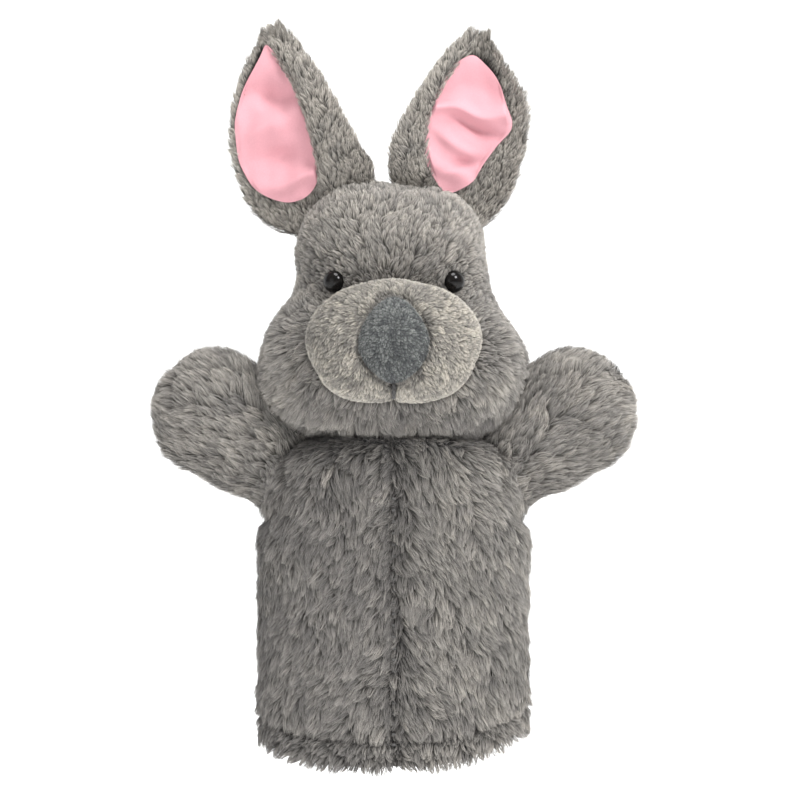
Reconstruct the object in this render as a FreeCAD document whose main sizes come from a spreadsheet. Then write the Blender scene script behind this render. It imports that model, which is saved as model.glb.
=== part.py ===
"""Rabbit glove puppet, as a parametric FreeCAD document.

Millimetres, +Z up. The puppet faces -Y, and +X is its own left.
The origin is the centre of the hand opening, at the lower edge of the hem.
Fabric and stuffing are plain closed solids of the room that each one takes up.
"""

import FreeCAD, Part
import math
import os
import re
import Sketcher

SIZES = (
    # the hand sleeve: a flat tube with round ends
    ("sleeve_half_width", 58, "centre of the sleeve to its side"),
    ("sleeve_half_depth", 29, "centre of the sleeve to its front, and radius of its round ends"),
    ("sleeve_height", 146, "hem to the top of the shoulders"),
    ("shoulder_round", 12, "rounding of the shoulders"),
    ("pile_fabric", 6, "long-pile fabric, backing and pile together"),
    ("lining_cloth", 1, "lining cloth"),
    ("layer_gap", 0.2, "room between two layers"),
    ("hem_turn_up", 14, "height of the fabric turned up inside the hem"),
    ("seam_gap", 1.6, "gap that a seam's stitches bridge"),
    ("stitch_radius", 0.6, "sewing thread, drawn up"),
    ("stitch_pitch", 5, "one stitch to the next"),
    ("label_width", 12, "blank sewn-in label, across"),
    ("label_height", 26, "blank sewn-in label, up"),
    # the neck: everything turns about one point on the centre line
    ("neck_height", 152, "height of the point that the head turns about"),
    ("neck_clearance", 21.2, "ball about the neck point that the sleeve and head keep out of"),
    ("neck_ring_radius", 19.3, "gathering thread round the neck"),
    ("neck_ring_drop", 5, "gathering thread below the neck point"),
    ("cuff_outer_radius", 15.5, "lining cuff between sleeve and head, outside"),
    ("cuff_inner_radius", 14.5, "lining cuff, inside"),
    ("cuff_height", 7, "lining cuff, end to end"),
    # the head: two ellipsoids, cheeks and cranium
    ("head_fabric", 5, "head fabric, backing and pile together"),
    ("cheek_half_width", 53, "cheeks, side to side"),
    ("cheek_half_depth", 39, "cheeks, front to back"),
    ("cheek_half_height", 30, "cheeks, up and down"),
    ("cheek_forward", 3, "centre of the cheeks in front of the neck"),
    ("cheek_centre", 186, "height of the cheeks' centre"),
    ("cranium_half_width", 41, "cranium, side to side"),
    ("cranium_half_depth", 37, "cranium, front to back"),
    ("cranium_half_height", 41, "cranium, up and down"),
    ("cranium_back", 2, "centre of the cranium behind the neck"),
    ("cranium_centre", 222, "height of the cranium's centre"),
    ("gusset_half_width", 16, "centre strip from forehead to nape"),
    ("finger_radius", 10.5, "inside of each finger tube"),
    ("tube_mouth_height", 156, "lower end of the head's finger tube"),
    ("tube_length", 51, "depth of the head's finger tube"),
    # muzzle, nose and mouth
    ("muzzle_half_width", 39, "muzzle, side to side"),
    ("muzzle_half_depth", 25, "muzzle, front to back"),
    ("muzzle_half_height", 26, "muzzle, up and down"),
    ("muzzle_forward", 36, "centre of the muzzle in front of the neck"),
    ("muzzle_centre", 191, "height of the muzzle's centre"),
    ("short_pile", 2.5, "short-pile fabric of the muzzle"),
    ("nose_half_width", 15.5, "nose, side to side"),
    ("nose_half_depth", 9, "nose, front to back"),
    ("nose_half_height", 18.5, "nose, up and down"),
    ("nose_forward", 56, "centre of the nose in front of the neck"),
    ("nose_centre", 192, "height of the nose's centre"),
    ("nose_fabric", 1.5, "nose fabric"),
    ("mouth_forward", 51.2, "mouth stitch in front of the neck"),
    ("mouth_height", 170, "height of the mouth stitch"),
    ("mouth_half_length", 4, "mouth stitch, up and down"),
    # eyes: domes with a shank that a washer locks on the inside
    ("eye_spread", 27, "centre line to an eye"),
    ("eye_height", 218, "height of the eyes"),
    ("eye_turn", 38, "how far each eye looks to its own side, degrees"),
    ("eye_radius", 5.7, "edge of the dome"),
    ("eye_dome", 4.6, "height of the dome"),
    ("eye_stand_off", 0.3, "dome clear of the fabric"),
    ("shank_radius", 1.9, "shank"),
    ("shank_length", 13, "shank, from the dome's flat back"),
    ("shank_hole_radius", 2.1, "hole for the shank"),
    ("washer_radius", 5.6, "washer, outside"),
    ("washer_thickness", 1.2, "washer, thick"),
    ("washer_depth", 6.6, "washer behind the dome's flat back"),
    ("washer_pocket_radius", 6.6, "room for the washer in the stuffing"),
    ("washer_pocket_depth", 14, "depth of that room behind the dome"),
    # ears: each is a flat paddle with a hollow front, leaning from its root
    ("ear_half_width", 29, "ear, side to side"),
    ("ear_half_thickness", 6.5, "ear, front to back"),
    ("ear_half_length", 39, "ear, root to tip"),
    ("ear_root_gap", 1.5, "lower end of the ear above its root point"),
    ("ear_hollow_half_width", 22, "hollow of the ear, side to side"),
    ("ear_hollow_half_depth", 8, "hollow of the ear, front to back"),
    ("ear_hollow_half_length", 33, "hollow of the ear, along it"),
    ("ear_lining_cloth", 1.4, "pink cloth in the hollow"),
    ("ear_back", 4, "ear root behind the neck"),
    ("left_ear_root_height", 260, "height of the left ear's root"),
    ("left_ear_spread", 23, "centre line to the left ear's root"),
    ("left_ear_lean", 12, "left ear outward from upright, degrees"),
    ("left_ear_yaw", 8, "left ear's hollow turned outward, degrees"),
    ("left_ear_shift", 3, "middle of the left ear outward of its root"),
    ("right_ear_root_height", 256, "height of the right ear's root"),
    ("right_ear_spread", 29, "centre line to the right ear's root"),
    ("right_ear_lean", 19, "right ear outward from upright, degrees"),
    ("right_ear_yaw", 22, "right ear's hollow turned outward, degrees"),
    ("right_ear_shift", 6, "middle of the right ear outward of its root"),
    ("tack_radius", 2, "thread tack that holds an ear's root"),
    ("tack_length", 9, "thread tack, before the head is cut from it"),
    # arms: each turns about a shoulder point in its armhole
    ("shoulder_spread", 51, "centre line to a shoulder point"),
    ("shoulder_height", 132, "height of the shoulder points"),
    ("arm_rise", 40, "arms above level, degrees"),
    ("armhole_radius", 22.3, "ball about the shoulder that the sleeve keeps out of"),
    ("binding_outer_radius", 21.9, "armhole binding, outside"),
    ("binding_inner_radius", 21, "armhole binding, inside"),
    ("binding_inner_end", 6.5, "binding's inner edge inward of the shoulder"),
    ("binding_width", 4, "binding, along the arm"),
    ("arm_root_radius", 20.6, "round root of the arm"),
    ("arm_root_overhang", 4, "arm's open end inward of the shoulder"),
    ("paw_centre", 36, "shoulder to the paw's centre"),
    ("paw_half_length", 30.5, "paw, along the arm"),
    ("paw_half_thickness", 18, "paw, front to back"),
    ("paw_half_width", 26, "paw, across the arm"),
    ("pocket_length", 52, "shoulder to the closed end of the finger pocket"),
)

ALIAS = re.compile(r"\b(" + "|".join(alias for alias, _, _ in SIZES) + r")\b")
SIDES = {"left": 1, "right": -1}

doc = FreeCAD.newDocument("rabbit_glove_puppet")
sheet = doc.addObject("Spreadsheet::Sheet", "Size")
pieces = []


def fill_sheet():
    """Each row holds a note and a plain number, and the number's cell has an alias."""
    for row, (alias, size, note) in enumerate(SIZES, start=1):
        sheet.set(f"A{row}", note)
        sheet.set(f"B{row}", str(size))
        sheet.setAlias(f"B{row}", alias)
    doc.recompute()


def rule(text):
    """An expression in bare alias names, as FreeCAD reads it."""
    return ALIAS.sub(r"Size.\g<0>", text)


def number(text):
    """What such an expression comes to now."""
    return float(sheet.evalExpression(rule(text)))


def bind(shape, **sizes):
    for name, text in sizes.items():
        shape.setExpression(name, rule(text))


def put(shape, x="0", y="0", z="0", turn="rotation(vector(0; 0; 1); 0)"):
    """Bind the place of a shape, and how it is turned, to the sheet."""
    spot = f"placement(vector({x}; {y}; {z}); {turn})"
    shape.setExpression("Placement", rule(spot))
    return shape


def piece(shape, label):
    """Mark a shape as one that is written to a file of its own."""
    shape.Label = label
    pieces.append(shape)
    return shape


# Shapes that the pieces are cut from


def ellipsoid(name, across, deep, high, grow="0", x="0", y="0", z="0"):
    shape = doc.addObject("Part::Ellipsoid", name)
    bind(shape, Radius1=f"{high} + {grow}", Radius2=f"{across} + {grow}", Radius3=f"{deep} + {grow}")
    return put(shape, x, y, z)


def ball(name, radius, x="0", y="0", z="0"):
    shape = doc.addObject("Part::Sphere", name)
    bind(shape, Radius=radius)
    return put(shape, x, y, z)


def rod(name, radius, length, x="0", y="0", z="0", turn="rotation(vector(0; 0; 1); 0)"):
    shape = doc.addObject("Part::Cylinder", name)
    bind(shape, Radius=radius, Height=length)
    return put(shape, x, y, z, turn)


def block(name, low, high):
    """A box between two corners, whose coordinates are expressions."""
    shape = doc.addObject("Part::Box", name)
    for side, start, end in zip(("Length", "Width", "Height"), low, high):
        bind(shape, **{side: f"({end}) - ({start})"})
    return put(shape, *low)


def fuse(name, *shapes):
    joined = doc.addObject("Part::MultiFuse", name)
    joined.Shapes = list(shapes)
    return joined


def cut(name, base, *tools):
    left_over = doc.addObject("Part::Cut", name)
    left_over.Base = base
    left_over.Tool = tools[0] if len(tools) == 1 else fuse(name + "_cutters", *tools)
    return left_over


def common(name, first, second):
    shared = doc.addObject("Part::Common", name)
    shared.Base = first
    shared.Tool = second
    return shared


# Sketches


def sketch_on(body, name, role, height="0"):
    """An empty sketch on one of the body's own origin planes, or above it."""
    sketch = body.newObject("Sketcher::SketchObject", name)
    plane = next(part for part in body.Origin.OriginFeatures if part.Role == role)
    sketch.AttachmentSupport = (plane, "")
    sketch.MapMode = "FlatFace"
    sketch.setExpression("AttachmentOffset.Base.z", rule(height))
    return sketch


def dimension(sketch, kind, where, text):
    """A sketch dimension that follows the sheet."""
    index = sketch.addConstraint(Sketcher.Constraint(kind, *where, number(text)))
    sketch.setExpression(f"Constraints[{index}]", rule(text))


def slot_form(name, inset, bottom, top, rounded):
    """The sleeve's outline, drawn in by inset all round and raised from bottom to top."""
    body = doc.addObject("PartDesign::Body", name)
    sketch = sketch_on(body, name + "_outline", "XY_Plane", bottom)
    radius_rule = f"sleeve_half_depth - ({inset})"
    radius = number(radius_rule)
    reach = number("sleeve_half_width - sleeve_half_depth")
    up = FreeCAD.Vector(0, 0, 1)
    right_centre = FreeCAD.Vector(reach, 0, 0)
    left_centre = FreeCAD.Vector(-reach, 0, 0)
    side = FreeCAD.Vector(0, radius, 0)
    quarter = math.pi / 2
    sketch.addGeometry(Part.LineSegment(left_centre - side, right_centre - side))
    sketch.addGeometry(Part.ArcOfCircle(Part.Circle(right_centre, up, radius), -quarter, quarter))
    sketch.addGeometry(Part.LineSegment(right_centre + side, left_centre + side))
    sketch.addGeometry(Part.ArcOfCircle(Part.Circle(left_centre, up, radius), quarter, 3 * quarter))
    for line_end in ((0, 2, 1, 1), (1, 2, 2, 1), (2, 2, 3, 1), (3, 2, 0, 1)):
        sketch.addConstraint(Sketcher.Constraint("Tangent", *line_end))
    sketch.addConstraint(Sketcher.Constraint("Horizontal", 0))
    sketch.addConstraint(Sketcher.Constraint("Equal", 1, 3))
    sketch.addConstraint(Sketcher.Constraint("Symmetric", 1, 3, 3, 3, -1, 1))
    dimension(sketch, "Radius", (1,), radius_rule)
    dimension(sketch, "DistanceX", (3, 3, 1, 3), "2 * (sleeve_half_width - sleeve_half_depth)")
    pad = body.newObject("PartDesign::Pad", name + "_pad")
    pad.Profile = sketch
    bind(pad, Length=f"({top}) - ({bottom})")
    if rounded:
        doc.recompute()
        faces = pad.Shape.Faces
        highest = max(range(len(faces)), key=lambda index: faces[index].CenterOfMass.z)
        fillet = body.newObject("PartDesign::Fillet", name + "_shoulders")
        fillet.Base = (pad, [f"Face{highest + 1}"])
        bind(fillet, Radius=f"shoulder_round - ({inset})")
    return body


def stitch_row(name, role, across, first, last):
    """Stitches one above another, each across a seam's gap, as separate solids."""
    body = doc.addObject("PartDesign::Body", name)
    body.AllowCompound = True
    sketch = sketch_on(body, name + "_section", role)
    centre = FreeCAD.Vector(number(across), number(first), 0)
    circle = Part.Circle(centre, FreeCAD.Vector(0, 0, 1), number("stitch_radius"))
    sketch.addGeometry(circle)
    dimension(sketch, "Radius", (0,), "stitch_radius")
    dimension(sketch, "DistanceX", (-1, 1, 0, 3), across)
    dimension(sketch, "DistanceY", (-1, 1, 0, 3), first)
    pad = body.newObject("PartDesign::Pad", name + "_stitch")
    pad.Profile = sketch
    pad.SideType = "Symmetric"
    bind(pad, Length="seam_gap")
    doc.recompute()
    row = body.newObject("PartDesign::LinearPattern", name + "_row")
    row.Originals = [pad]
    row.Direction = (sketch, ["V_Axis"])
    bind(row, Length=f"({last}) - ({first})")
    row.Occurrences = int(number(f"(({last}) - ({first})) / stitch_pitch")) + 1
    body.Tip = row
    return piece(body, name)


# The hand sleeve


def sleeve_cutters():
    """The balls about the neck and shoulder points, which every sleeve layer keeps out of."""
    neck = ball("neck_clear", "neck_clearance", z="neck_height")
    armholes = [
        ball(f"{side}_armhole", "armhole_radius", x=f"{sign} * shoulder_spread", z="shoulder_height")
        for side, sign in SIDES.items()
    ]
    return [neck, *armholes]


def sleeve(cutters):
    """Two front panels and a back, of long-pile fabric, with a turned-up hem."""
    inside = "pile_fabric + layer_gap + lining_cloth"
    outside = slot_form("sleeve_outside", "0", "0", "sleeve_height", True)
    hollow = slot_form("sleeve_hollow", "pile_fabric", "hem_turn_up", "sleeve_height - pile_fabric", True)
    mouth = slot_form("sleeve_mouth", inside, "-1", "hem_turn_up + 1", False)
    shell = cut("sleeve_shell", outside, hollow, mouth, *cutters)
    wide, deep, top = "sleeve_half_width + 1", "sleeve_half_depth + 1", "sleeve_height + 1"
    half_gap = "seam_gap / 2"
    regions = {
        "body_front_left": ((half_gap, f"-({deep})", "-1"), (wide, f"-{half_gap}", top)),
        "body_front_right": ((f"-({wide})", f"-({deep})", "-1"), (f"-{half_gap}", f"-{half_gap}", top)),
        "body_back": ((f"-({wide})", half_gap, "-1"), (wide, deep, top)),
    }
    for label, (low, high) in regions.items():
        piece(common(label, shell, block(label + "_region", low, high)), label)


def sleeve_lining(cutters):
    """A front and a back of thin cloth inside the sleeve, above the turned-up hem."""
    outer, inner = "pile_fabric + layer_gap", "pile_fabric + layer_gap + lining_cloth"
    bottom = "hem_turn_up + seam_gap"
    outside = slot_form("lining_outside", outer, bottom, f"sleeve_height - ({outer})", True)
    hollow = slot_form("lining_hollow", inner, f"{bottom} - 1", f"sleeve_height - ({inner})", True)
    shell = cut("lining_shell", outside, hollow, *cutters)
    wide, deep = "sleeve_half_width", "sleeve_half_depth"
    front = block("lining_front_region", (f"-{wide}", f"-{deep}", "0"), (wide, "0", "sleeve_height"))
    back = block("lining_back_region", (f"-{wide}", "0", "0"), (wide, deep, "sleeve_height"))
    piece(common("lining_front", shell, front), "lining_front")
    piece(common("lining_back", shell, back), "lining_back")


def hem_seam():
    """The line of thread where the turned-up hem meets the lining."""
    outer, inner = "pile_fabric + 2 * layer_gap", "pile_fabric + lining_cloth - layer_gap"
    bottom, top = "hem_turn_up", "hem_turn_up + seam_gap"
    band = slot_form("hem_band", outer, bottom, top, False)
    opening = slot_form("hem_opening", inner, f"{bottom} - 1", f"{top} + 1", False)
    piece(cut("hem_seam", band, opening), "hem_seam")


def sleeve_seams():
    """Thread across the centre front seam and the two side seams."""
    first = "2 * stitch_pitch"
    stitch_row("centre_front_seam", "YZ_Plane", "pile_fabric / 2 - sleeve_half_depth", first,
               "sleeve_height - 2 * shoulder_round")
    for side, sign in SIDES.items():
        stitch_row(f"side_seam_{side}", "XZ_Plane", f"{sign} * (sleeve_half_width - pile_fabric / 2)",
                   first, "shoulder_height - armhole_radius - stitch_pitch")


def care_label():
    """A blank tape that hangs flat against the lining at the right side seam."""
    wall = "sleeve_half_width - pile_fabric - 2 * lining_cloth - 3 * layer_gap"
    low = (f"-({wall})", "-label_width / 2", "hem_turn_up + 2 * seam_gap")
    high = (f"-({wall}) + 2 * layer_gap", "label_width / 2", "hem_turn_up + 2 * seam_gap + label_height")
    piece(block("care_label", low, high), "care_label")


def neck():
    """A gathering thread round the neck, and a short cuff of lining inside it."""
    ring = doc.addObject("Part::Torus", "neck_seam")
    bind(ring, Radius1="neck_ring_radius", Radius2="stitch_radius")
    piece(put(ring, z="neck_height - neck_ring_drop"), "neck_seam")
    foot = "neck_height - cuff_height / 2"
    tube = rod("cuff_tube", "cuff_outer_radius", "cuff_height", z=foot)
    opening = rod("cuff_opening", "cuff_inner_radius", "cuff_height + 2", z=f"{foot} - 1")
    piece(cut("neck_cuff", tube, opening), "neck_cuff")


# The head


def head_form(name, grow):
    """Cheeks and cranium in one, grown or shrunk all round."""
    cheeks = ellipsoid(name + "_cheeks", "cheek_half_width", "cheek_half_depth", "cheek_half_height",
                       grow, y="-cheek_forward", z="cheek_centre")
    cranium = ellipsoid(name + "_cranium", "cranium_half_width", "cranium_half_depth",
                        "cranium_half_height", grow, y="cranium_back", z="cranium_centre")
    return fuse(name, cheeks, cranium)


def muzzle_form(name, grow):
    return ellipsoid(name, "muzzle_half_width", "muzzle_half_depth", "muzzle_half_height",
                     grow, y="-muzzle_forward", z="muzzle_centre")


def nose_form(name, grow):
    """An ellipsoid laid with its poles to the sides and its seam behind, where the muzzle covers them."""
    shape = ellipsoid(name, "nose_half_depth", "nose_half_height", "nose_half_width", grow)
    return put(shape, "0", "-nose_forward", "nose_centre", "rotation(vector(1; 1; 1); 120)")


EYE_Y = (
    "cranium_back - eye_stand_off - cranium_half_depth * sqrt(1 - pow(eye_spread / cranium_half_width; 2)"
    " - pow((eye_height - cranium_centre) / cranium_half_height; 2))"
)


def put_at_eye(shape, side, behind="0", flip="1"):
    """Set a shape behind an eye's flat back, its Z axis along the shank: outward, or inward for flip -1."""
    sign = SIDES[side]
    turn = f"rotation(vector(0; 0; 1); {sign} * eye_turn) * rotation(vector(1; 0; 0); {flip} * 90)"
    aside = f"{sign} * (eye_spread - ({behind}) * sin(eye_turn * 1deg))"
    back = f"{EYE_Y} + ({behind}) * cos(eye_turn * 1deg)"
    return put(shape, aside, back, "eye_height", turn)


def shank_rod(name, side, radius, start, end):
    """A rod about an eye's shank axis, from start to end behind the dome."""
    shape = doc.addObject("Part::Cylinder", name)
    bind(shape, Radius=radius, Height=f"({end}) - ({start})")
    return put_at_eye(shape, side, start, "-1")


def head_panels(cutters):
    """Two side panels and a centre gusset, with a hole for each eye's shank."""
    holes = [
        shank_rod(f"{side}_shank_hole", side, "shank_hole_radius", "-3", "washer_pocket_depth")
        for side in SIDES
    ]
    shell = cut("head_shell", head_form("head_outside", "0"), head_form("head_inside", "-head_fabric"),
                cutters[0], *holes)
    wide, deep, top = "cheek_half_width + 1", "2 * cheek_half_depth", "2 * neck_height"
    gusset = "gusset_half_width"
    regions = {
        "head_side_left": (gusset, wide),
        "head_gusset": (f"-{gusset}", gusset),
        "head_side_right": (f"-({wide})", f"-{gusset}"),
    }
    for label, (start, end) in regions.items():
        region = block(label + "_region", (start, f"-({deep})", "0"), (end, deep, top))
        piece(common(label, shell, region), label)


def head_filling(cutters):
    """Stuffing with room for the finger tube and for each eye's washer, and the tube itself."""
    pockets = [
        shank_rod(f"{side}_washer_pocket", side, "washer_pocket_radius", "0", "washer_pocket_depth")
        for side in SIDES
    ]
    wall = "finger_radius + lining_cloth"
    tube_room = rod("tube_room", f"{wall} + layer_gap", "tube_length + lining_cloth + layer_gap",
                    z="tube_mouth_height")
    form = head_form("stuffing_form", "-(head_fabric + layer_gap)")
    piece(cut("head_stuffing", form, cutters[0], tube_room, *pockets), "head_stuffing")
    tube = rod("tube_outside", wall, "tube_length + lining_cloth", z="tube_mouth_height")
    bore = rod("tube_bore", "finger_radius", "tube_length + 1", z="tube_mouth_height - 1")
    piece(cut("finger_tube", tube, bore), "finger_tube")


def muzzle_and_nose(face):
    """A stuffed short-pile muzzle on the face, a padded nose on it and one stitch for a mouth."""
    muzzle_inside = muzzle_form("muzzle_inside", "-short_pile")
    muzzle_core = muzzle_form("muzzle_core", "-(short_pile + layer_gap)")
    piece(cut("muzzle_cover", muzzle_form("muzzle_outside", "0"), muzzle_inside, face), "muzzle_cover")
    piece(cut("muzzle_stuffing", muzzle_core, face), "muzzle_stuffing")
    clear = muzzle_form("muzzle_clear", "layer_gap")
    nose_inside = nose_form("nose_inside", "-nose_fabric")
    nose_core = nose_form("nose_core", "-(nose_fabric + layer_gap)")
    piece(cut("nose_cover", nose_form("nose_outside", "0"), nose_inside, clear), "nose_cover")
    piece(cut("nose_wadding", nose_core, clear), "nose_wadding")
    thread = ellipsoid("mouth_thread", "stitch_radius", "2 * stitch_radius", "mouth_half_length",
                       y="-mouth_forward", z="mouth_height")
    piece(cut("mouth_stitch", thread, clear, nose_form("nose_clear", "layer_gap")), "mouth_stitch")


def eye(side):
    """A dome and its shank, turned as one about the shank's axis."""
    name = f"{side}_eye"
    body = doc.addObject("PartDesign::Body", name)
    sketch = sketch_on(body, name + "_profile", "XZ_Plane")
    rim, dome = number("eye_radius"), number("eye_dome")
    shank, length = number("shank_radius"), number("shank_length")
    curve = (rim * rim + dome * dome) / (2 * dome)
    outline = ((0, -length), (shank, -length), (shank, 0), (rim, 0))
    corners = [FreeCAD.Vector(across, up, 0) for across, up in outline]
    for one, other in zip(corners, corners[1:]):
        sketch.addGeometry(Part.LineSegment(one, other))
    circle = Part.Circle(FreeCAD.Vector(0, dome - curve, 0), FreeCAD.Vector(0, 0, 1), curve)
    sketch.addGeometry(Part.ArcOfCircle(circle, math.atan2(curve - dome, rim), math.pi / 2))
    sketch.addGeometry(Part.LineSegment(FreeCAD.Vector(0, dome, 0), corners[0]))
    for edge in range(5):
        sketch.addConstraint(Sketcher.Constraint("Coincident", edge, 2, (edge + 1) % 5, 1))
    for kind, where in (
        ("PointOnObject", (0, 1, -2)),
        ("Horizontal", (0,)),
        ("Vertical", (1,)),
        ("PointOnObject", (1, 2, -1)),
        ("Horizontal", (2,)),
        ("PointOnObject", (3, 3, -2)),
        ("PointOnObject", (3, 2, -2)),
    ):
        sketch.addConstraint(Sketcher.Constraint(kind, *where))
    dimension(sketch, "DistanceY", (0, 1, -1, 1), "shank_length")
    dimension(sketch, "DistanceX", (-1, 1, 1, 1), "shank_radius")
    dimension(sketch, "DistanceX", (-1, 1, 3, 1), "eye_radius")
    dimension(sketch, "DistanceY", (-1, 1, 4, 1), "eye_dome")
    turned = body.newObject("PartDesign::Revolution", name + "_turned")
    turned.Profile = sketch
    turned.ReferenceAxis = (sketch, ["V_Axis"])
    turned.Angle = 360
    piece(put_at_eye(body, side), name)


def eye_washer(side):
    """The locking washer on the shank, inside the head fabric."""
    name = f"{side}_eye_washer"
    back = "washer_depth + washer_thickness"
    disc = shank_rod(name + "_disc", side, "washer_radius", "washer_depth", back)
    opening = shank_rod(name + "_opening", side, "shank_hole_radius", "washer_depth - 1", f"{back} + 1")
    piece(cut(name, disc, opening), name)


# The ears. Each is built upright on its root point and then leaned


def put_at_ear(shape, side, shift="0"):
    """Lean a shape about an ear's root, shifted outward along the ear's own fold."""
    sign = SIDES[side]
    lean = f"rotation(vector(0; 1; 0); {sign} * {side}_ear_lean)"
    yaw = f"rotation(vector(0; 0; 1); {sign} * {side}_ear_yaw)"
    level = f"{shift} * cos({side}_ear_yaw * 1deg)"
    return put(
        shape,
        f"{sign} * ({side}_ear_spread + {level} * cos({side}_ear_lean * 1deg))",
        f"ear_back + {shift} * sin({side}_ear_yaw * 1deg)",
        f"{side}_ear_root_height - {level} * sin({side}_ear_lean * 1deg)",
        f"{lean} * {yaw}",
    )


def ears(face):
    """A long-pile back with a hollow front, a pink lining in the hollow, and a tack at the root."""
    middle = "ear_root_gap + ear_half_length"
    outside = ellipsoid("ear_outside", "ear_half_width", "ear_half_thickness", "ear_half_length", z=middle)
    hollow_size = ("ear_hollow_half_width", "ear_hollow_half_depth", "ear_hollow_half_length")
    hollows = [
        ellipsoid(name, *hollow_size, grow=grow, y="-ear_half_thickness", z=middle)
        for name, grow in (
            ("ear_hollow", "0"),
            ("ear_lining_outside", "-layer_gap"),
            ("ear_lining_inside", "-(layer_gap + ear_lining_cloth)"),
        )
    ]
    lining = common("ear_lining_solid", outside, hollows[1])
    for side in SIDES:
        back = cut(f"{side}_ear_back", outside, hollows[0])
        piece(put_at_ear(back, side, f"{side}_ear_shift"), f"{side}_ear_back")
        cloth = cut(f"{side}_ear_lining", lining, hollows[2])
        piece(put_at_ear(cloth, side, f"{side}_ear_shift"), f"{side}_ear_lining")
        tack = rod(f"{side}_tack_rod", "tack_radius", "tack_length", z="-(tack_length + ear_root_gap)")
        leaned = doc.addObject("Part::Compound", f"{side}_tack_leaned")
        leaned.Links = [tack]
        put_at_ear(leaned, side)
        piece(cut(f"ear_tack_{side}", leaned, face), f"ear_tack_{side}")


# The arms. Each is built along +X from its shoulder point and then raised


def put_at_shoulder(shape, side):
    sign = SIDES[side]
    angle = "-arm_rise" if sign > 0 else "180 + arm_rise"
    turn = f"rotation(vector(0; 1; 0); {angle})"
    return put(shape, f"{sign} * shoulder_spread", "0", "shoulder_height", turn)


def paw_form(name, grow):
    return ellipsoid(name, "paw_half_length", "paw_half_thickness", "paw_half_width", grow, x="paw_centre")


def arm_rod(name, radius, start, end):
    """A rod along the arm's own axis."""
    lie_down = "rotation(vector(0; 1; 0); 90)"
    return rod(name, radius, f"({end}) - ({start})", x=start, turn=lie_down)


def arms():
    """Front and back panels, finger pocket, wadding round it, and the armhole's binding."""
    reach = "2 * paw_centre"
    inner_end = "-arm_root_overhang"
    open_end = block("arm_open_end", (f"-({reach})",) * 3, (inner_end, reach, reach))
    wall = "finger_radius + lining_cloth"
    room = arm_rod("pocket_room", f"{wall} + layer_gap", f"-({reach})",
                   "pocket_length + lining_cloth + layer_gap")
    root = ball("arm_root", "arm_root_radius")
    outside = fuse("arm_outside", root, paw_form("paw_outside", "0"))
    shell = cut("arm_shell", outside, paw_form("paw_inside", "-head_fabric"), room, open_end)
    half_front = block("arm_front_half", (inner_end, f"-({reach})", f"-({reach})"), (reach, "0", reach))
    half_back = block("arm_back_half", (inner_end, "0", f"-({reach})"), (reach, reach, reach))
    core = paw_form("paw_core", "-(head_fabric + layer_gap)")
    tube = arm_rod("pocket_outside", wall, inner_end, "pocket_length + lining_cloth")
    bore = arm_rod("pocket_bore", "finger_radius", f"{inner_end} - 1", "pocket_length")
    skin = cut("binding_skin", ball("binding_outside", "binding_outer_radius"),
               ball("binding_inside", "binding_inner_radius"))
    band = block("binding_band", ("-binding_inner_end", f"-({reach})", f"-({reach})"),
                 ("binding_width - binding_inner_end", reach, reach))
    for side in SIDES:
        made = {
            f"arm_front_{side}": common(f"arm_front_{side}", shell, half_front),
            f"arm_back_{side}": common(f"arm_back_{side}", shell, half_back),
            f"arm_pocket_{side}": cut(f"arm_pocket_{side}", tube, bore),
            f"paw_wadding_{side}": cut(f"paw_wadding_{side}", core, room),
            f"armhole_binding_{side}": common(f"armhole_binding_{side}", skin, band),
        }
        for label, shape in made.items():
            piece(put_at_shoulder(shape, side), label)


def check():
    """Stop if any object failed, or if any piece is empty or not valid."""
    doc.recompute()
    failed = [made.Name for made in doc.Objects if {"Invalid", "Error"} & set(made.State)]
    if failed:
        raise RuntimeError(f"these objects failed: {failed}")
    for made in pieces:
        if made.Shape.isNull() or not made.Shape.isValid() or not made.Shape.Solids:
            raise RuntimeError(f"{made.Label} has no valid solid")


def write():
    os.makedirs("parts", exist_ok=True)
    for made in pieces:
        made.Shape.exportStep(f"parts/{made.Label}.step")
    print(len(pieces), "pieces written")


fill_sheet()
clearances = sleeve_cutters()
sleeve(clearances)
sleeve_lining(clearances)
hem_seam()
sleeve_seams()
care_label()
neck()
head_panels(clearances)
head_filling(clearances)
face_clear = head_form("face_clear", "layer_gap")
muzzle_and_nose(face_clear)
for which in SIDES:
    eye(which)
    eye_washer(which)
ears(face_clear)
arms()
check()
write()
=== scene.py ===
"""Looks of the rabbit glove puppet, around its CAD frame.

Shapes are worked out in millimetres in the part's frame: +Z up, the face looks along -Y and +X is the
puppet's own left. Fabric backings are grid skins, and the pile is tapered strands that grow from them.
"""

import math

import bpy
import numpy as np
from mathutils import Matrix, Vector
from mathutils.kdtree import KDTree


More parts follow.
